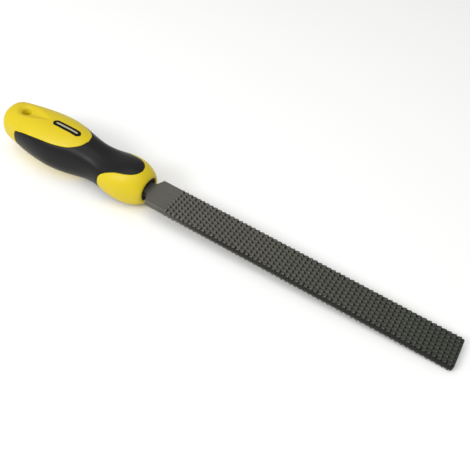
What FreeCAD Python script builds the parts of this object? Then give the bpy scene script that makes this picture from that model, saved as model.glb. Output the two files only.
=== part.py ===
import FreeCAD, Part
import os
from math import cos, radians, sin

# Flat wood rasp, millimetres. The tool lies along X with its tip at +X and its flat faces
# at +Z and -Z. The origin is the middle of the tool's overall box, on its long axis.

# ---- driving dimensions ------------------------------------------------------
# steel
blade_length = 200.0        # shoulder corners to the square tip
blade_width = 21.3
bar_thickness = 4.0         # over the bar, without the teeth
tip_corner_radius = 1.0
shoulder_depth = 3.7        # from the shoulder corners back to the neck
neck_width = 9.4
tang_length = 70.0          # behind the shoulder corners
tang_end_width = 5.0

# teeth, in rows straight across both faces
tooth_height = 1.0
tooth_length = 2.1
tooth_width = 2.0
row_pitch = 3.0
tooth_pitch = 2.88          # across a row
row_shift = 1.78            # how far across each row is moved from the one before
heel_length = 13.7          # smooth steel between the shoulder corners and the first row
tip_margin = 1.0            # smooth steel between the last row and the tip
edge_margin = 0.6           # smooth steel beside the outermost teeth
tooth_point = 0.62          # where the point stands, as a share of the tooth's length

# handle, outside. Along it, places are shares of its length, counted back from the shoulder.
handle_length = 115.5
collar_gap = 4.4            # from the shoulder corners back to the collar's front face
section_power = 2.25        # 2 is an ellipse; more is squarer
butt_half_width, butt_width_slope = 10.5, 0.25
butt_half_height, butt_height_slope = 11.0, 0.17
belly_half_width, belly_width_at = 17.4, 0.650
belly_half_height, belly_height_at = 15.7, 0.555
waist_half_width, waist_width_at = 12.3, 0.381
waist_half_height, waist_height_at = 11.5, 0.303
collar_half_width, collar_width_at = 15.3, 0.208
collar_half_height, collar_height_at = 14.4, 0.130
butt_round = 8.0            # length of the rounded butt end
butt_power = 2.6
collar_power = 1.6
lip_width = 0.9             # flat rim round the mouth

# mouth, sleeve and fits
mouth_half_width = 7.5
mouth_half_height = 7.3
mouth_depth = 20.0
sleeve_recess = 0.6         # how far the sleeve sits below the rim
tang_clearance = 0.10

# soft grip and its groove
grip_thickness = 2.0
arm_corner_radius = 1.6
# seams, as (share of handle length, degrees up from the side line)
panel_seam = ((0.861, 21), (0.800, 27.5), (0.700, 33.5), (0.600, 38), (0.506, 47.5), (0.463, 62), (0.436, 90))
lobe_seam = ((0.295, 0), (0.286, 20), (0.257, 34), (0.204, 48), (0.140, 56), (0.098, 71), (0.080, 90))

# hanging hole and the scoop round it
hole_radius = 3.2
hole_from_butt = 15.5
scoop_radius = 5.4
scoop_neck_radius = 5.0     # of the cone that leads forward from the scoop's ball
scoop_lift = 1.2            # how far the ball's centre stands above the surface
scoop_length = 17.0         # from the hole's axis forward to the scoop's point
scoop_fade = 1.5            # how far that point stands above the surface

# badge
badge_length = 21.0
badge_width = 5.0
badge_corner = 1.7          # how much of each corner is cut away
badge_thickness = 1.0
badge_at = 0.582

# ---- derived places ----------------------------------------------------------
overall_length = handle_length + blade_length
shoulder_x = overall_length / 2 - blade_length
tip_x = overall_length / 2
butt_x = -overall_length / 2
collar_x = shoulder_x - collar_gap
far_out = 2 * max(belly_half_width, belly_half_height, blade_width)


def along(share):
    """X of a place on the handle, given as a share of its length."""
    return shoulder_x - share * handle_length


def hermite(x, x0, y0, slope0, x1, y1, slope1):
    """Cubic from (x0, y0) to (x1, y1) with the given end slopes."""
    t, h = (x - x0) / (x1 - x0), x1 - x0
    return ((2 * t**3 - 3 * t**2 + 1) * y0 + (t**3 - 2 * t**2 + t) * h * slope0
            + (3 * t**2 - 2 * t**3) * y1 + (t**3 - t**2) * h * slope1)


def half_size(x, butt, slope, belly, belly_at, waist, waist_at, collar, collar_at, rim):
    """Half the handle's width or height at x: butt, belly, waist, collar, then the domed front."""
    if x <= along(belly_at):
        y = hermite(x, butt_x, butt, slope, along(belly_at), belly, 0)
    elif x <= along(waist_at):
        y = hermite(x, along(belly_at), belly, 0, along(waist_at), waist, 0)
    elif x <= along(collar_at):
        y = hermite(x, along(waist_at), waist, 0, along(collar_at), collar, 0)
    else:
        t = min((x - along(collar_at)) / (collar_x - along(collar_at)), 1)
        y = rim + (collar - rim) * (1 - t**collar_power) ** (1 / collar_power)
    u = max((butt_x + butt_round - x) / butt_round, 0)
    return y * (1 - min(u, 1) ** butt_power) ** (1 / butt_power)


def half_width(x):
    return half_size(x, butt_half_width, butt_width_slope, belly_half_width, belly_width_at,
                     waist_half_width, waist_width_at, collar_half_width, collar_width_at,
                     mouth_half_width + lip_width)


def half_height(x):
    return half_size(x, butt_half_height, butt_height_slope, belly_half_height, belly_height_at,
                     waist_half_height, waist_height_at, collar_half_height, collar_height_at,
                     mouth_half_height + lip_width)


def on_section(a, b, angle):
    """(y, z) of a point on the section with half sizes a and b, by its polar angle in radians."""
    c, s = cos(angle), sin(angle)
    r = ((abs(c) / a) ** section_power + (abs(s) / b) ** section_power) ** (-1 / section_power)
    return r * c, r * s


def closed_spline(points):
    """Closed curve through the points, evenly spaced in its parameter so that sections match."""
    curve = Part.BSplineCurve()
    curve.interpolate(Points=points, PeriodicFlag=True, Parameters=list(range(len(points) + 1)))
    return Part.Wire([curve.toShape()])


def open_spline(points):
    curve = Part.BSplineCurve()
    curve.interpolate(points)
    return curve.toShape()


def body(inset):
    """The handle's outer shape, smaller all round by inset."""
    ring = 24
    round_steps = (0.03, 0.12, 0.25, 0.42, 0.62, 0.82, 1.0)
    places = [butt_x + butt_round * s**1.6 for s in round_steps]
    body_steps = 16
    collar_start = along(collar_height_at)
    span = collar_start - (butt_x + butt_round)
    places += [butt_x + butt_round + span * (i + 1) / body_steps for i in range(body_steps)]
    front = collar_x - collar_start
    places += [collar_start + front * s for s in (0.2, 0.38, 0.54, 0.68, 0.8, 0.9, 0.97, 1.0)]
    wires = []
    for x in places:
        a, b = half_width(x) - inset, half_height(x) - inset
        if min(a, b) < inset:
            continue
        ys = [on_section(a, b, radians(360 * i / ring)) for i in range(ring)]
        wires.append(closed_spline([FreeCAD.Vector(x, y, z) for y, z in ys]))
    return Part.makeLoft(wires, True, False)


def prism(edges, direction):
    """Solid between two copies of a closed flat outline, far out on both sides."""
    face = Part.Face(Part.Wire(Part.__sortEdges__(edges)))
    face.translate(direction * -far_out)
    return face.extrude(direction * 2 * far_out)


def seam_points(seam):
    """Each seam point as (x, y, z) on the handle's surface, on the +Y, +Z side."""
    points = []
    for share, angle in seam:
        x = along(share)
        y, z = on_section(half_width(x), half_height(x), radians(angle))
        points.append((x, y, z))
    return points


def grip_mask():
    """Everything between the rear seam (seen from the side) and the front seam (seen from above)."""
    up = [FreeCAD.Vector(x, 0, z) for x, y, z in seam_points(panel_seam)]
    rise = up[-1] - up[-2]
    up.append(up[-1] + rise * (grip_thickness / rise.Length))
    down = [FreeCAD.Vector(p.x, 0, -p.z) for p in up]
    outside = [(up[-1].x, far_out), (shoulder_x, far_out), (shoulder_x, -far_out), (up[-1].x, -far_out)]
    front = Part.makePolygon([up[-1]] + [FreeCAD.Vector(x, 0, z) for x, z in outside] + [down[-1]])
    side = front.Edges + [open_spline(up), open_spline(down), Part.makeLine(down[0], up[0])]
    side_prism = prism(side, FreeCAD.Vector(0, 1, 0))
    corners = [e for e in side_prism.Edges
               if all(abs(v.X - up[0].x) < 1e-6 for v in e.Vertexes) and len(e.Vertexes) == 2
               and abs(e.Vertexes[0].Y - e.Vertexes[1].Y) > far_out]
    side_prism = side_prism.makeFillet(arm_corner_radius, corners)

    near = [FreeCAD.Vector(x, y, 0) for x, y, z in seam_points(lobe_seam)]
    start = near[0] + FreeCAD.Vector(-0.3, 1, 0) * grip_thickness
    half = [start] + near
    other = [FreeCAD.Vector(p.x, -p.y, 0) for p in reversed(half[:-1])]
    outside = [(start.x, far_out), (butt_x, far_out), (butt_x, -far_out), (start.x, -far_out)]
    back = Part.makePolygon([start] + [FreeCAD.Vector(x, y, 0) for x, y in outside] + [other[-1]])
    top_prism = prism(back.Edges + [open_spline(half + other)], FreeCAD.Vector(0, 0, 1))
    return side_prism.common(top_prism)


def scoop():
    """Teardrop dish: a ball, and a cone that leads from it to a point above the surface."""
    x0, x1 = butt_x + hole_from_butt, butt_x + hole_from_butt + scoop_length
    start = FreeCAD.Vector(x0, 0, half_height(x0) + scoop_lift)
    point = FreeCAD.Vector(x1, 0, half_height(x1) + scoop_fade)
    way = point - start
    ball = Part.makeSphere(scoop_radius, start)
    cone = Part.makeCone(scoop_neck_radius, 0, way.Length, start, way)
    return ball.fuse(cone)


def badge_prism():
    """Lozenge with cut corners, standing on the badge's floor."""
    x, w, c = badge_length / 2, badge_width / 2, badge_corner
    floor = half_height(along(badge_at)) - badge_thickness
    middle = FreeCAD.Vector(along(badge_at), 0, floor)
    around = [(-x, -w + c), (-x + c, -w), (x - c, -w), (x, -w + c), (x, w - c), (x - c, w), (-x + c, w), (-x, w - c)]
    points = [middle + FreeCAD.Vector(px, py, 0) for px, py in around]
    face = Part.Face(Part.makePolygon(points + points[:1]))
    return face.extrude(FreeCAD.Vector(0, 0, far_out))


def steel_outline(grow):
    """Plan outline of the blade and tang, wider all round by grow."""
    w, n, e = blade_width / 2 + grow, neck_width / 2 + grow, tang_end_width / 2 + grow
    r = tip_corner_radius
    neck_x, end_x = shoulder_x - shoulder_depth, shoulder_x - tang_length - grow
    k = r * (1 - cos(radians(45)))

    def v(x, y):
        return FreeCAD.Vector(x, y, 0)

    # the shoulder is a hollow curve that leaves the neck along the tool
    bend = v(shoulder_x - shoulder_depth * 0.45, n + (w - n) * 0.30)
    edges = [Part.makeLine(v(shoulder_x, w), v(tip_x - r, w)),
             Part.Arc(v(tip_x - r, w), v(tip_x - k, w - k), v(tip_x, w - r)).toShape(),
             Part.makeLine(v(tip_x, w - r), v(tip_x, -w + r)),
             Part.Arc(v(tip_x, -w + r), v(tip_x - k, -w + k), v(tip_x - r, -w)).toShape(),
             Part.makeLine(v(tip_x - r, -w), v(shoulder_x, -w)),
             Part.Arc(v(shoulder_x, -w), v(bend.x, -bend.y), v(neck_x, -n)).toShape(),
             Part.makeLine(v(neck_x, -n), v(end_x, -e)),
             Part.makeLine(v(end_x, -e), v(end_x, e)),
             Part.makeLine(v(end_x, e), v(neck_x, n)),
             Part.Arc(v(neck_x, n), bend, v(shoulder_x, w)).toShape()]
    return Part.Wire(edges)


def tooth_places():
    """(x, y) of every tooth's middle, row by row."""
    reach = blade_width / 2 - edge_margin - tooth_width / 2
    first = shoulder_x + heel_length + tooth_length / 2
    rows = int((tip_x - tip_margin - tooth_length / 2 - first) / row_pitch) + 1
    places = []
    for row in range(rows):
        y = -reach + row * row_shift % tooth_pitch
        while y <= reach:
            places.append((first + row * row_pitch, y))
            y += tooth_pitch
    return places


def toothed_steel():
    """Bar and tang in one, with a three-sided raised point for each tooth on both faces."""
    half = bar_thickness / 2
    bar = Part.Face(steel_outline(0)).extrude(FreeCAD.Vector(0, 0, bar_thickness))
    bar.translate(FreeCAD.Vector(0, 0, -half))
    faces = [f for f in bar.Faces if abs(f.normalAt(0, 0).z) < 0.5]
    for side in (1, -1):
        plate = steel_outline(0)
        plate.translate(FreeCAD.Vector(0, 0, side * half))
        holes = []
        for x, y in tooth_places():
            heel = FreeCAD.Vector(x - tooth_length / 2, y, side * half)
            left = FreeCAD.Vector(x + tooth_length / 2, y + tooth_width / 2, side * half)
            right = FreeCAD.Vector(x + tooth_length / 2, y - tooth_width / 2, side * half)
            point = FreeCAD.Vector(x + (tooth_point - 0.5) * tooth_length, y, side * (half + tooth_height))
            holes.append(Part.makePolygon([heel, left, right, heel]))
            for p, q in ((heel, left), (left, right), (right, heel)):
                faces.append(Part.Face(Part.makePolygon([p, q, point, p])))
        faces.append(Part.makeFace([plate] + holes, "Part::FaceMakerBullseye"))
    shell = Part.makeShell(faces)
    shell.sewShape()
    solid = Part.makeSolid(shell if shell.ShapeType == "Shell" else shell.Shells[0])
    if solid.Volume < 0:
        solid.reverse()
    return solid


def ellipse_plug(x_from, x_to, a, b):
    """Solid along X with an elliptical section of half sizes a (Y) and b (Z)."""
    round_plug = Part.makeCylinder(1.0, abs(x_to - x_from), FreeCAD.Vector(min(x_from, x_to), 0, 0),
                                   FreeCAD.Vector(1, 0, 0))
    grow = FreeCAD.Matrix()
    grow.A22, grow.A33 = a, b
    return round_plug.transformGeometry(grow)


def tang_slot():
    """The space that the tang needs in the handle, with its clearance."""
    slot_thickness = bar_thickness + 2 * tang_clearance
    slot = Part.Face(steel_outline(tang_clearance)).extrude(FreeCAD.Vector(0, 0, slot_thickness))
    slot.translate(FreeCAD.Vector(0, 0, -slot_thickness / 2))
    return slot


os.makedirs("parts", exist_ok=True)

outer = body(0)
groove = outer.cut(body(grip_thickness)).common(grip_mask())

lozenge = badge_prism()
badge = outer.common(lozenge)

hole_x = butt_x + hole_from_butt
hang_hole = Part.makeCylinder(hole_radius, 2 * far_out, FreeCAD.Vector(hole_x, 0, -far_out))
upper_scoop = scoop()
lower_scoop = upper_scoop.copy()
lower_scoop.rotate(FreeCAD.Vector(0, 0, 0), FreeCAD.Vector(1, 0, 0), 180)

mouth_floor = collar_x - mouth_depth
mouth = ellipse_plug(mouth_floor, shoulder_x, mouth_half_width, mouth_half_height)
sleeve = ellipse_plug(mouth_floor, collar_x - sleeve_recess, mouth_half_width, mouth_half_height)
sleeve = sleeve.cut(tang_slot())

dished_hole = hang_hole.fuse([upper_scoop, lower_scoop])
core = outer.cut(dished_hole).cut(groove).cut(lozenge).cut(mouth).cut(tang_slot())

nodes = {"rasp_blade": toothed_steel(), "handle_core": core, "grip_overmould": groove,
         "tang_sleeve": sleeve, "badge": badge}
for name, shape in nodes.items():
    solids = shape.Solids
    print(name, "solids", len(solids), "valid", shape.isValid(), "volume", round(shape.Volume, 1),
          "faces", len(shape.Faces))
    shape.exportStep("parts/" + name + ".step")
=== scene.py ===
import math

import bpy
import numpy as np
from mathutils import Matrix, Vector


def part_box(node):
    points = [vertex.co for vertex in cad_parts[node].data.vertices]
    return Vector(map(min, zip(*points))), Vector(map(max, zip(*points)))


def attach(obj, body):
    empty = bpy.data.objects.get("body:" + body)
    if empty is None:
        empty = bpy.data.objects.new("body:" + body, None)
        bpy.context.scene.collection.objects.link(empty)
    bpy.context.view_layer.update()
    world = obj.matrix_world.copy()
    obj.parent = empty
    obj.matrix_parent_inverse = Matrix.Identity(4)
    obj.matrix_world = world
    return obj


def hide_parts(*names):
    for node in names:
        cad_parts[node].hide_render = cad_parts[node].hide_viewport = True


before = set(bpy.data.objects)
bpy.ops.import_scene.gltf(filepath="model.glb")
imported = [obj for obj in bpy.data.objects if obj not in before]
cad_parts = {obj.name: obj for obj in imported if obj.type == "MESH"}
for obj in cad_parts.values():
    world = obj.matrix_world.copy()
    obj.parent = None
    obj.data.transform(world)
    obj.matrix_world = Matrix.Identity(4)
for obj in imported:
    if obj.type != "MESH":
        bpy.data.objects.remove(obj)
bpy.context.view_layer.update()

# Flat wood rasp. Shapes are worked out in millimetres, in the CAD frame: X along the tool towards
# its tip, Z out of the face with the badge, origin in the middle of the overall box.
MM = 0.001

# ---- places and sizes, in mm ---------------------------------------------------
BLADE_LOW, BLADE_HIGH = (np.array(p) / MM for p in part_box("rasp_blade"))
CORE_LOW, CORE_HIGH = (np.array(p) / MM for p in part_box("handle_core"))
BADGE_LOW, BADGE_HIGH = (np.array(p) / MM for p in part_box("badge"))
SLEEVE_LOW, SLEEVE_HIGH = (np.array(p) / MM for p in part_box("tang_sleeve"))

TIP_X, TANG_END_X = BLADE_HIGH[0], BLADE_LOW[0]
BLADE_HALF_WIDTH = BLADE_HIGH[1]
BLADE_LENGTH = 200.0
SHOULDER_X = TIP_X - BLADE_LENGTH
BAR_HALF = 2.0                  # half the bar's thickness, between the teeth
TOOTH_HEIGHT = BLADE_HIGH[2] - BAR_HALF
PIT_DEPTH = 0.75
ROW_PITCH, TOOTH_PITCH, ROW_SHIFT = 3.0, 2.88, 1.78
TIP_CORNER = 1.0
NECK_HALF_WIDTH, TANG_END_HALF_WIDTH = 4.7, 2.5
SHOULDER_DEPTH = 3.7

BUTT_X = CORE_LOW[0]
HANDLE_LENGTH = SHOULDER_X - BUTT_X
COLLAR_X = CORE_HIGH[0]
MOUTH_HALF = np.array([7.5, 7.3])
LIP_WIDTH = 0.9
MOUTH_DEPTH = 20.0
SECTION_POWER = 2.25
BUTT_ROUND, BUTT_POWER, COLLAR_POWER = 8.0, 2.6, 1.6
# half sizes of the handle: (value, place as a share of the handle's length from the shoulder)
BUTT_HALF, BUTT_SLOPE = (10.5, 11.0), (0.25, 0.17)
BELLY = ((17.4, 0.650), (15.7, 0.555))
WAIST = ((12.3, 0.381), (11.5, 0.303))
COLLAR = ((15.3, 0.208), (14.4, 0.130))

GRIP_THICKNESS = 2.0
ARM_END = 0.861                 # share of the handle's length where the side arms end
ARM_END_ROUND = 3.0
PANEL_SEAM = ((0.835, 23), (0.790, 28), (0.700, 33.5), (0.600, 38), (0.545, 42.5), (0.506, 48),
              (0.471, 58.5), (0.449, 70), (0.436, 90))
LOBE_SEAM = ((0.295, 0), (0.286, 20), (0.257, 34), (0.208, 46.5), (0.170, 52), (0.138, 56.5),
             (0.108, 64), (0.089, 75), (0.081, 90))
CORE_EDGE, GRIP_EDGE = 0.35, 0.55   # rounding of each side of the seam

LIP_ROUND = 0.4
TANG_CLEARANCE, FIT = 0.1, 0.02
SLOT_POWER = 8                  # superellipse power of the slot round the tang, nearly a rectangle

HOLE_X, HOLE_RADIUS = BUTT_X + 15.5, 3.2
SCOOP_RADIUS, SCOOP_LENGTH, SCOOP_DEPTH = 6.6, 20.0, 3.2
BADGE_CORNER = 1.7
BADGE_SPINE = 7.5               # half length of the line that the badge's rings shrink to
BADGE_BAR = 0.26                # how far out the pale bar reaches, as a share of the way to the rim

# teeth: ROWS rows of raised points, each with the punch's pit on its tip side
ROWS = 62
FIRST_PEAK_X = SHOULDER_X + 15.0
TOOTH_RISE, TOOTH_FALL = 2.3, 0.34
PIT_AHEAD, PIT_HALF_LENGTH, PIT_HALF_WIDTH = 0.66, 0.54, 0.94
EDGE_CHAMFER = 0.2
TIP_SOFTENING = 0.3, 0.5        # how deep and how long the bar's faces fall at the tip
TOOTHLESS_TIP = 0.6
SIDE_SHADE = 0.12, 0.50          # painted shade on the side faces at the heel and further on, as a depth in a pit
SIDE_SHADE_X = 10, 50            # where that change begins and ends, counted from the shoulder
EDGE_GLINT = 0.6                  # painted highlight: how much paler the teeth beside the edges are, as a height
GLINT_HEIGHT, GLINT_WIDTH = 0.3, 1.2    # full above this height, and gone this far in from an edge
TOOTH_SIZE, EDGE_SIZE = (0.60, 0.80), (0.55, 1.0)   # least and most, as shares of the full height
TOOTH_SWAY, ROW_SWAY = 0.14, 0.2    # how far a tooth and a row may stand out of place
TOOTH_FOOT, TOOTH_SPREAD = 0.8, 0.5   # half width at the heel side, and how much it gains at the point
RISE_POWER, PIT_POWER = 1.3, 0.6
EDGE_FOOT, EDGE_PIT_HALF_WIDTH, EDGE_PIT_SHARE = 1.1, 1.0, 0.75
EDGE_TOOTH = 0.5                # each row also has a tooth this far in from both sides
EDGE_SHARE = 0.85               # how much of a tooth's height is left where the side face cuts it

RIDGE = math.pi / 2             # the angle of the handle's top line; its side line is at 0
CORE_ROWS, GRIP_ROWS, HIDDEN_ROWS = 44, 50, 16   # grid rows in a quarter of the handle

# camera: place in mm, lens in mm on a 36 mm sensor
CAMERA_AT = (109.82, -236.14, 292.41)
CAMERA_FORWARD = (-0.24317, 0.61007, -0.75411)
CAMERA_UP = (-0.45817, 0.61301, 0.64366)
CAMERA_LENS = 49.73


# ---- mesh helpers --------------------------------------------------------------
def grid_quads(rows, columns, closed=False):
    """Quads of a rows x columns grid of points; closed joins the last column to the first."""
    i = np.arange(rows - 1)[:, None] * columns
    j = np.arange(columns if closed else columns - 1)[None]
    k = (j + 1) % columns
    return np.stack([i + j, i + k, i + columns + k, i + columns + j], -1).reshape(-1, 4)


def build(name, points, quads, values=None, sharp=40):
    """Mesh object from points in mm and quads. Points at one place become one, which closes seams
    and poles, and a quad that loses a corner that way becomes a triangle."""
    key = np.round(points / 1e-4).astype(np.int64)
    _, first, where = np.unique(key, axis=0, return_index=True, return_inverse=True)
    quads = where.reshape(-1)[quads]
    keep = quads != np.roll(quads, -1, axis=1)
    whole = (keep.sum(1) >= 3) & (quads[:, 0] != quads[:, 2]) & (quads[:, 1] != quads[:, 3])
    keep, quads = keep[whole], quads[whole]
    corners = quads[keep]
    starts = np.concatenate([[0], np.cumsum(keep.sum(1))[:-1]])
    mesh = bpy.data.meshes.new(name)
    mesh.vertices.add(len(first))
    mesh.vertices.foreach_set("co", (points[first] * MM).astype(np.float32).ravel())
    mesh.loops.add(len(corners))
    mesh.loops.foreach_set("vertex_index", corners.astype(np.int32))
    mesh.polygons.add(len(starts))
    mesh.polygons.foreach_set("loop_start", starts.astype(np.int32))
    mesh.update(calc_edges=True)
    mesh.validate()
    if values is not None:
        layer = mesh.attributes.new("painted_light_wear_and_print", "FLOAT", "POINT")
        layer.data.foreach_set("value", values[first].astype(np.float32))
    mesh.polygons.foreach_set("use_smooth", np.ones(len(mesh.polygons), bool))
    mesh.set_sharp_from_angle(angle=math.radians(sharp))
    piece = bpy.data.objects.new(name, mesh)
    bpy.context.collection.objects.link(piece)
    return piece


def four_quarters(points, quads):
    """Mirrors a quarter of the handle across its XZ and XY planes, keeping faces outwards."""
    all_points, all_quads = [], []
    for count, (side, up) in enumerate(((1, 1), (-1, 1), (-1, -1), (1, -1))):
        all_points.append(points * (1, side, up))
        turned = quads if side * up > 0 else quads[:, ::-1]
        all_quads.append(turned + count * len(points))
    return np.concatenate(all_points), np.concatenate(all_quads)


# ---- the handle's surface ------------------------------------------------------
def along(share):
    """X of a place on the handle, as a share of its length back from the shoulder."""
    return SHOULDER_X - share * HANDLE_LENGTH


def hermite(x, x0, y0, slope0, x1, y1, slope1):
    """Cubic from (x0, y0) to (x1, y1) with the given end slopes."""
    t, h = (x - x0) / (x1 - x0), x1 - x0
    return ((2 * t**3 - 3 * t**2 + 1) * y0 + (t**3 - 2 * t**2 + t) * h * slope0
            + (3 * t**2 - 2 * t**3) * y1 + (t**3 - t**2) * h * slope1)


def half_size(x, axis):
    """Half width (axis 0) or half height (axis 1) at x: cubics from butt to belly to waist to
    collar, then a superellipse dome down to the mouth's lip, all times the butt's rounded end."""
    (belly, belly_at), (waist, waist_at), (collar, collar_at) = BELLY[axis], WAIST[axis], COLLAR[axis]
    b, w, c = along(belly_at), along(waist_at), along(collar_at)
    rim = MOUTH_HALF[axis] + LIP_WIDTH
    t = np.clip((x - c) / (COLLAR_X - c), 0, 1)
    dome = rim + (collar - rim) * (1 - t**COLLAR_POWER) ** (1 / COLLAR_POWER)
    y = np.select([x <= b, x <= w, x <= c],
                  [hermite(x, BUTT_X, BUTT_HALF[axis], BUTT_SLOPE[axis], b, belly, 0),
                   hermite(x, b, belly, 0, w, waist, 0), hermite(x, w, waist, 0, c, collar, 0)], dome)
    u = np.clip((BUTT_X + BUTT_ROUND - x) / BUTT_ROUND, 0, 1)
    return y * (1 - u**BUTT_POWER) ** (1 / BUTT_POWER)


def section(x, a, b, angle, power=SECTION_POWER):
    """Points of superellipse sections: the radius at a polar angle is
    ((|cos|/a)^p + (|sin|/b)^p)^(-1/p)."""
    c, s = np.cos(angle), np.sin(angle)
    c, s = np.where(np.abs(c) < 1e-9, 0, c), np.where(np.abs(s) < 1e-9, 0, s)
    a, b = np.maximum(a, 1e-9), np.maximum(b, 1e-9)
    r = ((np.abs(c) / a) ** power + (np.abs(s) / b) ** power) ** (-1 / power)
    r = np.where(np.minimum(a, b) < 1e-8, 0, r)
    return np.stack([x + 0 * r, r * c, r * s], -1)


def skin(x, angle, inset=0.0):
    """Points of the handle's surface, or of one that lies inset millimetres below it."""
    return section(x, half_size(x, 0) - inset, half_size(x, 1) - inset, angle)


def smooth_curve(points, count):
    """Catmull-Rom curve through 2-D points, sampled at even steps of its length."""
    p = np.array(points, float)
    p = np.concatenate([[2 * p[0] - p[1]], p, [2 * p[-1] - p[-2]]])
    t = np.linspace(0, 1, 60, endpoint=False)[:, None]
    spans = [0.5 * (2 * q1 + (q2 - q0) * t + (2 * q0 - 5 * q1 + 4 * q2 - q3) * t**2
                    + (3 * q1 - q0 - 3 * q2 + q3) * t**3)
             for q0, q1, q2, q3 in zip(p[:-3], p[1:-2], p[2:-1], p[3:])]
    line = np.concatenate(spans + [p[-2:-1]])
    solid = skin(line[:, 0], line[:, 1])
    length = np.concatenate([[0], np.cumsum(np.linalg.norm(np.diff(solid, axis=0), axis=1))])
    even = np.linspace(0, length[-1], count)
    return np.stack([np.interp(even, length, line[:, k]) for k in (0, 1)], -1)


def seam_lines():
    """The two seams as (x, angle) from the side line up to the ridge, evenly spaced.
    The rear one starts with the arm's rounded end, a superellipse quarter of power 3."""
    end_x, first = along(ARM_END), PANEL_SEAM[0]
    t = np.linspace(0, 1, 14)[:-1] ** 2.2
    rise = (1 - (1 - t) ** 3) ** (1 / 3)
    arm = [(end_x + ARM_END_ROUND * s, math.radians(first[1]) * r) for s, r in zip(t, rise)]
    rear = arm + [(along(share), math.radians(angle)) for share, angle in PANEL_SEAM]
    front = [(along(share), math.radians(angle)) for share, angle in LOBE_SEAM]
    return smooth_curve(rear, 120), smooth_curve(front, 54)


REAR_SEAM, FRONT_SEAM = seam_lines()
SEAM_POINTS = np.concatenate([skin(s[:, 0], s[:, 1]) for s in (smooth_curve(REAR_SEAM, 900),
                                                             smooth_curve(FRONT_SEAM, 500))])
FINE = np.array([0.08, 0.18, 0.30, 0.44, 0.62, 0.9])   # distances of the first rows from a seam


def from_seam(points):
    """Distance of each point to the nearest seam."""
    flat = points.reshape(-1, 3)
    found = [np.sqrt(((flat[i:i + 400, None] - SEAM_POINTS[None]) ** 2).sum(-1)).min(1)
             for i in range(0, len(flat), 400)]
    return np.concatenate(found).reshape(points.shape[:-1])


def rounded(distance, radius):
    """How far a surface drops at this distance from its edge: a quarter circle."""
    d = np.clip(radius - distance, 0, radius)
    return radius - np.sqrt(radius**2 - d**2)


def row_places(span, rows, fine_low, fine_high):
    """Places of rows+1 grid rows across a span: close together beside a seam, then even."""
    share = np.arange(1, len(FINE) + 1)[None] / rows
    fine = np.minimum(FINE[None], span * share)
    none = fine[:, :0]
    left, right = (fine if fine_low else none), (fine if fine_high else none)
    start = left[:, -1:] if fine_low else 0 * span
    end = span - right[:, -1:] if fine_high else span
    count = rows + 1 - left.shape[1] - right.shape[1]
    middle = start + (end - start) * np.linspace(0, 1, count)[None]
    before = [0 * span, left[:, :-1]] if fine_low else []
    after = [span - right[:, -2::-1], span] if fine_high else []
    return np.concatenate(before + [middle] + after, axis=1)


def spread(xs, low, high, rows, fine_low=False, fine_high=False):
    """Angles of the grid's rows between low(x) and high(x) at each station."""
    middle = skin(xs, (low + high) / 2)
    span = np.maximum((high - low) * np.linalg.norm(middle[:, 1:], axis=1), 1e-6)[:, None]
    place = row_places(span, rows, fine_low, fine_high)
    return low[:, None] + (high - low)[:, None] * place / span


def sheet(xs, angle, edge, seam_low, seam_high):
    """Skin points that round down by edge at a seam. seam_low and seam_high say at which stations
    the first and last row lie on one."""
    drop = rounded(from_seam(skin(xs[:, None], angle)), edge)
    drop[seam_low, 0] = edge
    drop[seam_high, -1] = edge
    drop[angle[:, -1] - angle[:, 0] < 1e-9] = edge
    return skin(xs[:, None], angle, drop)


def stations():
    """X stations of the handle's sheets: butt end, panel, waist, lobes and collar front."""
    cap = BUTT_X + BUTT_ROUND * np.linspace(0, 1, 26) ** BUTT_POWER
    end_x, waist_x = REAR_SEAM[0, 0], REAR_SEAM[-1, 0]
    lobe_x, tongue_x = FRONT_SEAM[0, 0], FRONT_SEAM[-1, 0]
    behind = np.concatenate([cap, np.linspace(cap[-1], end_x - FINE[-1], 12)[1:], end_x - FINE[-2::-1]])
    waist = np.concatenate([waist_x + FINE, np.linspace(waist_x + FINE[-1], lobe_x - FINE[-1], 22)[1:],
                            lobe_x - FINE[-2::-1]])
    t = 1 - (1 - np.linspace(0, 1, 16)[1:]) ** COLLAR_POWER
    ahead = np.concatenate([tongue_x + FINE, tongue_x + FINE[-1] + (COLLAR_X - tongue_x - FINE[-1]) * t])
    return behind, waist, ahead


BEHIND_X, WAIST_X, AHEAD_X = stations()


def scooped(points):
    """Presses the hanging hole's teardrop dish into the butt's two sides. With t from 0 at the hole
    to 1 at the dish's point, radius = R (1 - t^1.8) and
    depth = D (1 - (distance / radius)^2)^2 (1 - t)^0.8."""
    x, y, z = points[..., 0], points[..., 1], points[..., 2]
    ahead = np.clip((x - HOLE_X) / SCOOP_LENGTH, 0, 1)
    radius = SCOOP_RADIUS * np.maximum(1 - ahead**1.8, 0.02)
    across = np.sqrt(np.clip(HOLE_X - x, 0, None) ** 2 + y**2)
    fall = np.clip(1 - (across / radius) ** 2, 0, 1) ** 2
    depth = SCOOP_DEPTH * fall * (1 - ahead) ** 0.8
    near_top = np.clip((z - 2) / 4, 0, 1)
    moved = points.copy()
    moved[..., 2] = z - depth * near_top
    return moved


class Patches:
    """Grids of points gathered into one surface."""

    def __init__(self):
        self.points, self.quads, self.count = [], [], 0

    def add(self, grid, flip=False):
        quads = grid_quads(*grid.shape[:2])
        self.points.append(grid.reshape(-1, 3))
        self.quads.append((quads[:, ::-1] if flip else quads) + self.count)
        self.count += grid.shape[0] * grid.shape[1]

    def in_four(self):
        return four_quarters(np.concatenate(self.points), np.concatenate(self.quads))


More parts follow.
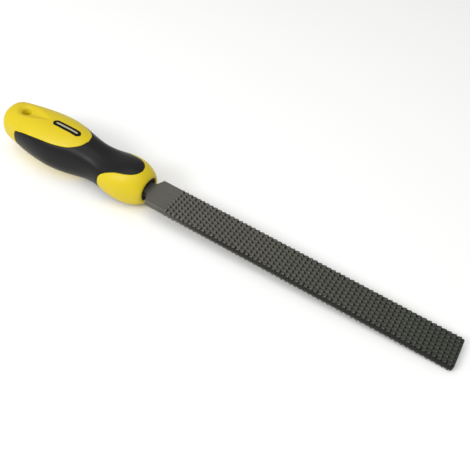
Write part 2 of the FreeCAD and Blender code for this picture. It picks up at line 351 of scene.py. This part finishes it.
def grip_span():
    """The soft grip's stations, its lowest and highest angle at each, and which are on a seam."""
    rear, front = REAR_SEAM, FRONT_SEAM
    xs = np.concatenate([rear[:, 0], WAIST_X, front[:, 0]])
    low = np.concatenate([0 * rear[:, 0], 0 * WAIST_X, front[:, 1]])
    high = np.concatenate([rear[:, 1], 0 * WAIST_X + RIDGE, 0 * front[:, 0] + RIDGE])
    return xs, low, high, xs >= front[0, 0], xs <= rear[-1, 0]


def seam_wall(seam, top, bottom):
    """The wall that stands under a seam, from top to bottom millimetres below the skin."""
    return np.stack([skin(seam[:, 0], seam[:, 1], depth) for depth in (top, 1.0, bottom)])


def handle_core():
    """Hard yellow moulding, one closed surface: butt and panels, the groove under the soft grip,
    nose collar with its lobes, rounded lip, mouth, and the pocket that holds the tang."""
    body = Patches()
    xs = np.concatenate([BEHIND_X, REAR_SEAM[:, 0]])
    low = np.concatenate([0 * BEHIND_X, REAR_SEAM[:, 1]])
    angle = spread(xs, low, 0 * xs + RIDGE, CORE_ROWS, fine_low=True)
    nowhere = np.zeros(len(xs), bool)
    body.add(scooped(sheet(xs, angle, CORE_EDGE, xs >= REAR_SEAM[0, 0], nowhere)))

    xs = np.concatenate([FRONT_SEAM[:, 0], AHEAD_X])
    high = np.concatenate([FRONT_SEAM[:, 1], 0 * AHEAD_X + RIDGE])
    angle = spread(xs, 0 * xs, high, CORE_ROWS, fine_high=True)
    nowhere = np.zeros(len(xs), bool)
    front = sheet(xs, angle, CORE_EDGE, nowhere, xs <= FRONT_SEAM[-1, 0])
    body.add(front)

    xs, low, high, _, _ = grip_span()
    body.add(skin(xs[:, None], spread(xs, low, high, HIDDEN_ROWS), GRIP_THICKNESS))
    body.add(seam_wall(REAR_SEAM, CORE_EDGE, GRIP_THICKNESS))
    body.add(seam_wall(FRONT_SEAM, CORE_EDGE, GRIP_THICKNESS), flip=True)

    turns = np.radians(np.linspace(0, 90, 6))
    rings = [(COLLAR_X - LIP_ROUND * (1 - math.cos(t)), MOUTH_HALF + LIP_ROUND * (1 - math.sin(t)),
              SECTION_POWER) for t in turns]
    rings += [(COLLAR_X - depth, MOUTH_HALF, SECTION_POWER) for depth in (1.5, 4.0, MOUTH_DEPTH)]
    neck = np.array([NECK_HALF_WIDTH, BAR_HALF]) + TANG_CLEARANCE
    end = np.array([TANG_END_HALF_WIDTH, BAR_HALF]) + TANG_CLEARANCE
    end_x = TANG_END_X - TANG_CLEARANCE
    rings += [(COLLAR_X - MOUTH_DEPTH, neck, SLOT_POWER), (end_x, end, SLOT_POWER),
              (end_x, 0 * end, SLOT_POWER)]
    around = angle[-1]
    inner = [section(0 * around + x, *half, around, power) for x, half, power in rings]
    body.add(np.stack([front[-1]] + inner))
    return build("handle_moulding", *body.in_four(), sharp=50)


def grip_overmould():
    """Soft grip, one closed skin 2 mm thick: waist band, side arms and tongues."""
    body = Patches()
    xs, low, high, on_front, on_rear = grip_span()
    angle = spread(xs, low, high, GRIP_ROWS, fine_low=True, fine_high=True)
    body.add(sheet(xs, angle, GRIP_EDGE, on_front, on_rear))
    depth = GRIP_THICKNESS - FIT
    body.add(skin(xs[:, None], spread(xs, low, high, HIDDEN_ROWS), depth), flip=True)
    body.add(seam_wall(REAR_SEAM, GRIP_EDGE, depth), flip=True)
    body.add(seam_wall(FRONT_SEAM, GRIP_EDGE, depth))
    return build("grip_rubber", *body.in_four(), sharp=50)


def tang_sleeve():
    """Liner in the mouth: an oval plug with rounded front edges and a slot for the tang, carried
    round as one closed profile."""
    around = np.radians(np.linspace(0, 90, 25))
    back, front = SLEEVE_LOW[0], SLEEVE_HIGH[0]
    r, shelf, floor_x = 0.4, front - 0.5, front - 0.7   # rounding, and the sunk ring round the slot
    outer = MOUTH_HALF - FIT
    slot = np.array([NECK_HALF_WIDTH, BAR_HALF]) + 2 * TANG_CLEARANCE
    turns = np.radians(np.linspace(0, 90, 5))
    loops = [(back, outer, SECTION_POWER)]
    loops += [(front - r * (1 - math.sin(t)), outer - r * (1 - math.cos(t)), SECTION_POWER) for t in turns]
    loops += [(shelf, slot + 1.0, 4), (floor_x, slot + r, SLOT_POWER)]
    loops += [(floor_x - r * math.sin(t), slot + r * (1 - math.sin(t)), SLOT_POWER) for t in turns[1:]]
    loops += [(back, slot, SLOT_POWER), (back, outer, SECTION_POWER)]
    body = Patches()
    body.add(np.stack([section(0 * around + x, *half, around, power) for x, half, power in loops]))
    return build("tang_liner", *body.in_four(), sharp=50)


# ---- blade ---------------------------------------------------------------------
def blade_half_width(x):
    """Half the steel's width at x: tapering tang, hollow shoulder (a parabola), straight blade
    and the tip's rounded corners."""
    neck_x, corner_x = SHOULDER_X - SHOULDER_DEPTH, TIP_X - TIP_CORNER
    tang = np.interp(x, (TANG_END_X, neck_x), (TANG_END_HALF_WIDTH, NECK_HALF_WIDTH))
    t = np.clip((x - neck_x) / SHOULDER_DEPTH, 0, 1)
    shoulder = NECK_HALF_WIDTH + (BLADE_HALF_WIDTH - NECK_HALF_WIDTH) * t**2
    rounding = np.sqrt(np.clip(TIP_CORNER**2 - np.clip(x - corner_x, 0, None) ** 2, 0, None))
    tip = BLADE_HALF_WIDTH - TIP_CORNER + rounding
    return np.select([x <= neck_x, x <= SHOULDER_X, x <= corner_x],
                     [tang, shoulder, 0 * x + BLADE_HALF_WIDTH], tip)


def smooth_step(t):
    t = np.clip(t, 0, 1)
    return t * t * (3 - 2 * t)


def tooth_relief(x, y, seed):
    """Height of the stitched face above the bar. Each tooth rises gently from the heel side to a
    point, drops steeply on the tip side, and has the punch's oval pit in front of it. Sizes and
    places vary a little from tooth to tooth, as hand-fed stitching does."""
    rng = np.random.RandomState(seed)
    per_row = 2 * int(BLADE_HALF_WIDTH / TOOTH_PITCH) + 5
    size = rng.uniform(*TOOTH_SIZE, (ROWS, per_row))
    sway = rng.uniform(-TOOTH_SWAY, TOOTH_SWAY, (ROWS, per_row))
    edge_size = rng.uniform(*EDGE_SIZE, (ROWS, 2))
    start = np.arange(ROWS) * ROW_SHIFT + rng.uniform(-ROW_SWAY, ROW_SWAY, ROWS)
    start = start % TOOTH_PITCH - TOOTH_PITCH * (per_row // 2)
    from_side = BLADE_HALF_WIDTH - EDGE_TOOTH - np.abs(y)
    hump, pit = 0 * x, 0 * x
    for ahead in (0, 1):
        row = np.floor((x - FIRST_PEAK_X) / ROW_PITCH).astype(int) + ahead
        real = (row >= 0) & (row < ROWS)
        row = np.clip(row, 0, ROWS - 1)
        dx = x - FIRST_PEAK_X - row * ROW_PITCH
        tooth = np.clip(np.round((y - start[row]) / TOOTH_PITCH), 0, per_row - 1).astype(int)
        dy = y - start[row] - tooth * TOOTH_PITCH - sway[row, tooth]
        rise = smooth_step((dx + TOOTH_RISE) / TOOTH_RISE) ** RISE_POWER
        profile = rise * (1 - smooth_step(dx / TOOTH_FALL))
        # distance across, size, half widths of tooth and pit, and the pit's share of the full depth
        inner = dy, size[row, tooth], TOOTH_FOOT + TOOTH_SPREAD * rise, PIT_HALF_WIDTH, 1.0
        edge = (from_side, edge_size[row, (y > 0).astype(int)], EDGE_FOOT, EDGE_PIT_HALF_WIDTH,
                EDGE_PIT_SHARE)
        for off, scale, foot, pit_half_width, share in (inner, edge):
            crest = np.clip(1 - (off / foot) ** 2, 0, 1)
            hump = np.maximum(hump, TOOTH_HEIGHT * real * scale * profile * crest)
            oval = (off / pit_half_width) ** 2 + ((dx - PIT_AHEAD) / PIT_HALF_LENGTH) ** 2
            pit = np.maximum(pit, share * PIT_DEPTH * real * scale * np.clip(1 - oval, 0, 1) ** PIT_POWER)
    return hump - pit


def blade_stations():
    """X stations from the tang's end to the tip; ten to each row of teeth."""
    neck_x = SHOULDER_X - SHOULDER_DEPTH
    cell = np.array([-1.62, -1.20, -0.80, -0.42, 0.0, 0.14, 0.32, 0.58, 0.88, 1.18])
    teeth = (FIRST_PEAK_X + np.arange(ROWS)[:, None] * ROW_PITCH + cell[None]).ravel()
    tang = np.linspace(TANG_END_X, neck_x, 12)
    shoulder = neck_x + SHOULDER_DEPTH * np.linspace(0, 1, 14)[1:]
    heel = np.linspace(SHOULDER_X, teeth[0], 12)[1:-1]
    corner = TIP_X - TIP_CORNER + TIP_CORNER * np.sin(np.radians(np.linspace(0, 90, 8)))
    return np.concatenate([tang, shoulder, heel, teeth[teeth < corner[0] - 0.1], corner])


def rasp_blade():
    """Blade and tang: a closed ring of points (top face, edge, lower face, edge) carried along X.
    Its colour value goes from 0 in a pit, where it gives painted shade, to 1 on a tooth's point. The
    teeth beside the edges are paler, as a painted highlight for their glints, and the side faces get
    painted shade."""
    xs = blade_stations()
    half = blade_half_width(xs)[:, None]
    across = np.linspace(-1, 1, 2 * int(BLADE_HALF_WIDTH / (TOOTH_PITCH / 8)) + 1)[None]
    soft = TIP_SOFTENING[0] * smooth_step((xs - TIP_X + TIP_SOFTENING[1]) / TIP_SOFTENING[1])[:, None]
    y = across * (half - EDGE_CHAMFER)
    toothed = ((xs > FIRST_PEAK_X - TOOTH_RISE) & (xs < TIP_X - TOOTHLESS_TIP))[:, None]
    faces = [toothed * tooth_relief(xs[:, None] + 0 * y, side * y, seed)
             for side, seed in ((1, 5), (-1, 11))]
    rim = BAR_HALF - soft - EDGE_CHAMFER
    # painted shade: the side faces are made darker, a little at the heel and more towards the tip
    painted_side_shade = -np.interp(xs - SHOULDER_X, SIDE_SHADE_X, SIDE_SHADE)[:, None]
    parts, painted_light_wear_and_print = [], []
    for side, face, other in ((1, 0, 1), (-1, 1, 0)):
        relief, this, next_face = faces[face], faces[face][:, -1:], faces[other][:, :1]
        above, below = rim + EDGE_SHARE * this, rim + EDGE_SHARE * next_face
        parts.append(np.stack([xs[:, None] + 0 * y, side * y, side * (BAR_HALF - soft + relief)], -1))
        parts += [np.stack([xs[:, None], side * half, side * z], -1) for z in (above, 0 * half, -below)]
        # painted highlight: the teeth beside the edges are made paler, standing in for the glints they
        # catch
        painted_glint = smooth_step(relief / GLINT_HEIGHT) * smooth_step(1 - (half - np.abs(y)) / GLINT_WIDTH)
        painted_light_wear_and_print += [relief + EDGE_GLINT * painted_glint, 0.5 * this, painted_side_shade, painted_side_shade + 0.3 * next_face]
    ring = np.concatenate(parts, axis=1)
    painted_light_wear_and_print = np.concatenate(painted_light_wear_and_print, axis=1)
    middle = ring.mean(1, keepdims=True) * (1, 0, 0)
    ends = [ring[:1] * 0 + middle[:1], ring, ring[-1:] * (1, 0.5, 0.5), ring[-1:] * 0 + middle[-1:]]
    painted_light_wear_and_print = np.concatenate([painted_light_wear_and_print[:1], painted_light_wear_and_print, painted_light_wear_and_print[-1:], painted_light_wear_and_print[-1:]])
    ring = np.concatenate(ends)
    painted_light_wear_and_print = np.clip((painted_light_wear_and_print + PIT_DEPTH) / (TOOTH_HEIGHT + PIT_DEPTH), 0, 1)
    quads = grid_quads(*ring.shape[:2], closed=True)[:, ::-1]
    return build("toothed_blade", ring.reshape(-1, 3), quads, values=painted_light_wear_and_print.ravel(), sharp=42)


# ---- badge ---------------------------------------------------------------------
def lozenge(count, shrink):
    """Outline of the badge, a rectangle with cut corners, as count points at even steps. 0.586 is
    2 - sqrt(2), so the cut corners move in as far as the sides do."""
    x, y = (BADGE_HIGH[:2] - BADGE_LOW[:2]) / 2 - shrink
    c = BADGE_CORNER - shrink * 0.586
    corners = np.array([(x, 0), (x, y - c), (x - c, y), (-x + c, y), (-x, y - c), (-x, -y + c),
                        (-x + c, -y), (x - c, -y), (x, -y + c), (x, 0)])
    length = np.concatenate([[0], np.cumsum(np.linalg.norm(np.diff(corners, axis=0), axis=1))])
    even = np.linspace(0, length[-1], count, endpoint=False)
    return np.stack([np.interp(even, length, corners[:, k]) for k in (0, 1)], -1)


def top_height(x, y):
    """Height of the handle's top surface over (x, y)."""
    a, b = half_size(x, 0), half_size(x, 1)
    return b * (1 - (np.abs(y) / a) ** SECTION_POWER) ** (1 / SECTION_POWER)


def lozenge_body(name, shrink, top_lift, bottom, edge):
    """Plate with the badge's outline: rings shrink from the rim to its middle line, and the top
    follows the handle's surface. Its "wear" is each ring's share of the way from that line to the
    rim. shrink narrows it, top_lift raises its top above the handle, edge drops its rim."""
    middle = (BADGE_HIGH + BADGE_LOW) / 2
    shares = (1.0, 0.98, 0.93, 0.9, 0.8, 0.7, 0.6, 0.45, 0.3, 0.15, 0.0)
    outline = lozenge(144, shrink)
    spine = np.stack([np.clip(outline[:, 0], -BADGE_SPINE, BADGE_SPINE), 0 * outline[:, 1]], -1)

    def ring(share, z_of):
        flat = spine + (outline - spine) * share + middle[:2]
        return np.column_stack([flat, z_of(flat[:, 0], flat[:, 1])])

    def surface(x, y):
        return top_height(x, y) + top_lift

    rings = [ring(s, surface) for s in shares[::-1][:-1]]
    rings += [ring(1.0, lambda x, y: surface(x, y) - edge), ring(1.0, lambda x, y: 0 * x + bottom)]
    rings += [ring(0.5, lambda x, y: 0 * x + bottom), ring(0.0, lambda x, y: 0 * x + bottom)]
    grid = np.stack(rings)
    shown = np.array(list(shares[::-1][:-1]) + [1, 1, 0.5, 0])[:, None] + 0 * grid[..., 0]
    quads = grid_quads(*grid.shape[:2], closed=True)[:, ::-1]
    return build(name, grid.reshape(-1, 3), quads, values=shown.ravel(), sharp=35)


def cut(piece, cutter):
    """Cuts one closed mesh out of another and removes the cutter."""
    tool = piece.modifiers.new("cut", "BOOLEAN")
    tool.operation, tool.solver, tool.object = "DIFFERENCE", "EXACT", cutter
    graph = bpy.context.evaluated_depsgraph_get()
    mesh = bpy.data.meshes.new_from_object(piece.evaluated_get(graph))
    piece.modifiers.clear()
    piece.data = mesh
    bpy.data.objects.remove(cutter)


def hanging_hole():
    """Cutter for the hole along Z: rings of a cylinder and its two ends."""
    turn = np.linspace(0, 2 * math.pi, 72, endpoint=False)
    reach = 20                      # past the handle above and below
    rings = [(0, -reach), (HOLE_RADIUS, -reach), (HOLE_RADIUS, 0), (HOLE_RADIUS, reach), (0, reach)]
    grid = np.stack([np.stack([HOLE_X + r * np.cos(turn), r * np.sin(turn), 0 * turn + z], -1)
                     for r, z in rings])
    return build("hole_cutter", grid.reshape(-1, 3), grid_quads(*grid.shape[:2], closed=True))


core = handle_core()
grip = grip_overmould()
sleeve = tang_sleeve()
blade = rasp_blade()
badge = lozenge_body("badge_plate", shrink=0.05, top_lift=0.05, bottom=BADGE_LOW[2] + 0.1, edge=0.12)
cut(core, hanging_hole())
cut(core, lozenge_body("pocket_cutter", shrink=0.0, top_lift=3.0, bottom=BADGE_LOW[2], edge=0.0))


# ---- materials -----------------------------------------------------------------
def linear(code):
    """An sRGB hex colour as linear RGBA."""
    parts = [int(code[i:i + 2], 16) / 255 for i in (1, 3, 5)]
    return [c / 12.92 if c <= 0.04045 else ((c + 0.055) / 1.055) ** 2.4 for c in parts] + [1.0]


def node(tree, kind, links=(), **settings):
    """Adds a node, sets its properties and input values, and links its inputs.
    links is a list of (input name, other node, other node's output name)."""
    made = tree.nodes.new(kind)
    for key, value in settings.items():
        if key in made.bl_rna.properties:
            setattr(made, key, value)
        else:
            made.inputs[key.replace("_", " ")].default_value = value
    for name, other, output in links:
        tree.links.new(other.outputs[output], made.inputs[name])
    return made


def material(name, **sockets):
    """Material with one Principled shader whose plain values are set on its own sockets."""
    made = bpy.data.materials.new(name)
    made.use_nodes = True
    tree = made.node_tree
    shader = tree.nodes["Principled BSDF"]
    for key, value in sockets.items():
        shader.inputs[key.replace("_", " ")].default_value = value
    return made, tree, shader


def noise(tree, place, scale, detail):
    return node(tree, "ShaderNodeTexNoise", [("Vector", place, "Object")], Scale=scale, Detail=detail)


def two_tones(tree, place, shader, scale, detail, first, second):
    """Base colour that drifts between two tones in soft blotches."""
    tint = node(tree, "ShaderNodeMix", [("Factor", noise(tree, place, scale, detail), "Fac")],
                data_type="RGBA")
    tint.inputs["A"].default_value = linear(first)
    tint.inputs["B"].default_value = linear(second)
    tree.links.new(tint.outputs["Result"], shader.inputs["Base Color"])


def fine_grain(tree, place, shader, scale, detail, strength, height):
    """The surface's fine grain, as a bump whose height is in metres."""
    bump = node(tree, "ShaderNodeBump", [("Height", noise(tree, place, scale, detail), "Fac")],
                Strength=strength, Distance=height)
    tree.links.new(bump.outputs["Normal"], shader.inputs["Normal"])


def polypropylene():
    """Injection-moulded polypropylene, satin: a bright body colour, a soft sheen from a lightly
    spark-eroded mould, and light that spreads a little under the surface."""
    made, tree, shader = material("polypropylene_yellow", Roughness=0.44, Specular_IOR_Level=0.34,
                                  Subsurface_Weight=0.12, Subsurface_Scale=0.002,
                                  Subsurface_Radius=(1.0, 0.6, 0.15))
    place = node(tree, "ShaderNodeTexCoord")
    two_tones(tree, place, shader, scale=90.0, detail=3.0, first="#CDB60C", second="#D2BC12")
    fine_grain(tree, place, shader, scale=2200.0, detail=2.0, strength=0.10, height=0.00005)
    return made


def elastomer():
    """Thermoplastic rubber moulded over the core: nearly black, satin, with a wide faint shine."""
    made, tree, shader = material("rubber_black", Roughness=0.33, Specular_IOR_Level=0.13)
    place = node(tree, "ShaderNodeTexCoord")
    two_tones(tree, place, shader, scale=120.0, detail=4.0, first="#1A1B1A", second="#1F201F")
    fine_grain(tree, place, shader, scale=1600.0, detail=3.0, strength=0.25, height=0.0001)
    return made


def tool_steel():
    """Hardened tool steel with the dark grey phosphate it is sold in: a thin crystalline coating, half
    metal and half matt. Its colour carries painted shade, darkest in the pits, on the side faces and
    towards the tip. The points of the teeth are paler, partly from wear and partly as a painted
    highlight."""
    made, tree, shader = material("tool_steel_grey", Metallic=0.55)
    place = node(tree, "ShaderNodeTexCoord")
    axes = node(tree, "ShaderNodeSeparateXYZ", [("Vector", place, "Object")])
    painted_light_wear_and_print = node(tree, "ShaderNodeAttribute", attribute_name="painted_light_wear_and_print")
    cloud = noise(tree, place, scale=160.0, detail=5.0)
    ramp = node(tree, "ShaderNodeValToRGB", [("Fac", painted_light_wear_and_print, "Fac")])
    flat = PIT_DEPTH / (PIT_DEPTH + TOOTH_HEIGHT)   # the bar's own surface on the scale from pit to point
    # painted shade: #12110F in the pits and #2A2926 below the bar's own tone darken the pits and the side
    # faces; #A8A59D at the top is a painted highlight for the glints on the teeth beside the edges
    stops = ramp.color_ramp.elements
    stops[0].color, stops[1].color = linear("#12110F"), linear("#A8A59D")
    for position, code in ((flat - 0.18, "#2A2926"), (flat - 0.02, "#6B6963"), (0.85, "#706D67")):
        stops.new(position).color = linear(code)
    blotch = node(tree, "ShaderNodeMix", [("Factor", cloud, "Fac"), ("A", ramp, "Color")],
                  data_type="RGBA", blend_type="MULTIPLY")
    blotch.inputs["B"].default_value = linear("#DCDAD4")
    # painted shade: the colour grows darker and a little greener from the shoulder to the tip
    painted_tip_shade = node(tree, "ShaderNodeMapRange", [("Value", axes, "X")],
                From_Min=SHOULDER_X * MM, From_Max=TIP_X * MM, To_Min=0.0, To_Max=0.95)
    shaded_to_tip = node(tree, "ShaderNodeMix", [("Factor", painted_tip_shade, "Result"), ("A", blotch, "Result")],
                 data_type="RGBA", blend_type="MULTIPLY")
    shaded_to_tip.inputs["B"].default_value = linear("#8E9C93")
    rough = node(tree, "ShaderNodeMapRange", [("Value", cloud, "Fac")], To_Min=0.45, To_Max=0.58)
    tree.links.new(shaded_to_tip.outputs["Result"], shader.inputs["Base Color"])
    tree.links.new(rough.outputs["Result"], shader.inputs["Roughness"])
    fine_grain(tree, place, shader, scale=1500.0, detail=3.0, strength=0.2, height=0.0001)
    return made


def liner_plastic():
    """Black moulded plastic, matt, deep in the mouth."""
    made, tree, shader = material("liner_black", Roughness=0.6, Specular_IOR_Level=0.2)
    place = node(tree, "ShaderNodeTexCoord")
    two_tones(tree, place, shader, scale=300.0, detail=2.0, first="#070707", second="#0B0B0C")
    return made


def badge_print():
    """Printed badge: black with a plain cream bar along its middle and no mark."""
    made, tree, shader = material("badge_gloss_black", Roughness=0.4, Specular_IOR_Level=0.15)
    edge = node(tree, "ShaderNodeAttribute", attribute_name="painted_light_wear_and_print")
    place = node(tree, "ShaderNodeTexCoord")
    cloud = noise(tree, place, scale=500.0, detail=2.0)
    line = node(tree, "ShaderNodeValToRGB", [("Fac", edge, "Fac")])
    line.color_ramp.interpolation = "CONSTANT"
    bar, rest = line.color_ramp.elements
    bar.color, rest.color, rest.position = linear("#B5AF92"), linear("#090909"), BADGE_BAR
    tint = node(tree, "ShaderNodeMix", [("Factor", cloud, "Fac"), ("A", line, "Color")],
                data_type="RGBA", blend_type="MULTIPLY")
    tint.inputs["B"].default_value = linear("#D8D8D8")
    tree.links.new(tint.outputs["Result"], shader.inputs["Base Color"])
    return made


def finish_piece(piece, node_name, made):
    """Gives a piece its material, hides the CAD node that it stands for, and hangs the piece on the root
    body.
    """
    piece.data.materials.clear()
    piece.data.materials.append(made)
    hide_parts(node_name)
    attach(piece, "root")


finish_piece(blade, "rasp_blade", tool_steel())
finish_piece(core, "handle_core", polypropylene())
finish_piece(grip, "grip_overmould", elastomer())
finish_piece(sleeve, "tang_sleeve", liner_plastic())
finish_piece(badge, "badge", badge_print())


# ---- floor, light and camera ---------------------------------------------------
def floor():
    """Plain pale floor on which the tool lies: it touches the handle and the teeth at the tip."""
    xs = np.linspace(along(0.9), along(0.05), 400)
    tip_z = BLADE_HIGH[2]
    slope = ((half_size(xs, 1) - tip_z) / (TIP_X - xs)).max()
    size = 3000.0
    corner = np.array([(-size, -size), (size, -size), (size, size), (-size, size)])
    z = -tip_z - slope * (TIP_X - corner[:, 0])
    plane = build("floor", np.column_stack([corner, z]), np.array([[0, 1, 2, 3]]))
    made, tree, shader = material("floor_paper", Roughness=0.9)
    place = node(tree, "ShaderNodeTexCoord")
    two_tones(tree, place, shader, scale=3.0, detail=2.0, first="#F6F6F5", second="#F9F9F8")
    plane.data.materials.append(made)


def area_light(name, direction, distance, size, power):
    """Soft light, size long and high, that looks at the handle's collar from the given direction."""
    data = bpy.data.lights.new(name, "AREA")
    data.shape, data.energy = "RECTANGLE", power
    data.size, data.size_y = size
    lamp = bpy.data.objects.new(name, data)
    aim = Vector((SHOULDER_X * MM, 0, 0))
    way = Vector(direction).normalized()
    lamp.location = aim + way * distance
    lamp.rotation_euler = way.to_track_quat("Z", "Y").to_euler()
    bpy.context.collection.objects.link(lamp)


def sky(strength):
    world = bpy.data.worlds.new("studio")
    world.use_nodes = True
    back = world.node_tree.nodes["Background"]
    back.inputs["Color"].default_value = (1, 1, 1, 1)
    back.inputs["Strength"].default_value = strength
    bpy.context.scene.world = world


def camera():
    """Three-quarter view from above the blade, with the tip nearest."""
    data = bpy.data.cameras.new("camera")
    data.sensor_width, data.lens = 36.0, CAMERA_LENS
    eye = bpy.data.objects.new("camera", data)
    forward, up = Vector(CAMERA_FORWARD).normalized(), Vector(CAMERA_UP)
    right = forward.cross(up).normalized()
    up = right.cross(forward)
    turn = Matrix((right, up, -forward)).transposed()
    eye.matrix_world = Matrix.Translation(Vector(CAMERA_AT) * MM) @ turn.to_4x4()
    bpy.context.collection.objects.link(eye)
    bpy.context.scene.camera = eye


floor()
sky(strength=0.52)
area_light("key", direction=(-0.35, -0.75, 0.60), distance=0.9, size=(0.44, 0.24), power=3.3)
area_light("overhead", direction=(-0.05, -0.30, 1.0), distance=1.3, size=(1.5, 1.5), power=10.5)
camera()
bpy.context.scene.view_settings.view_transform = "Standard"
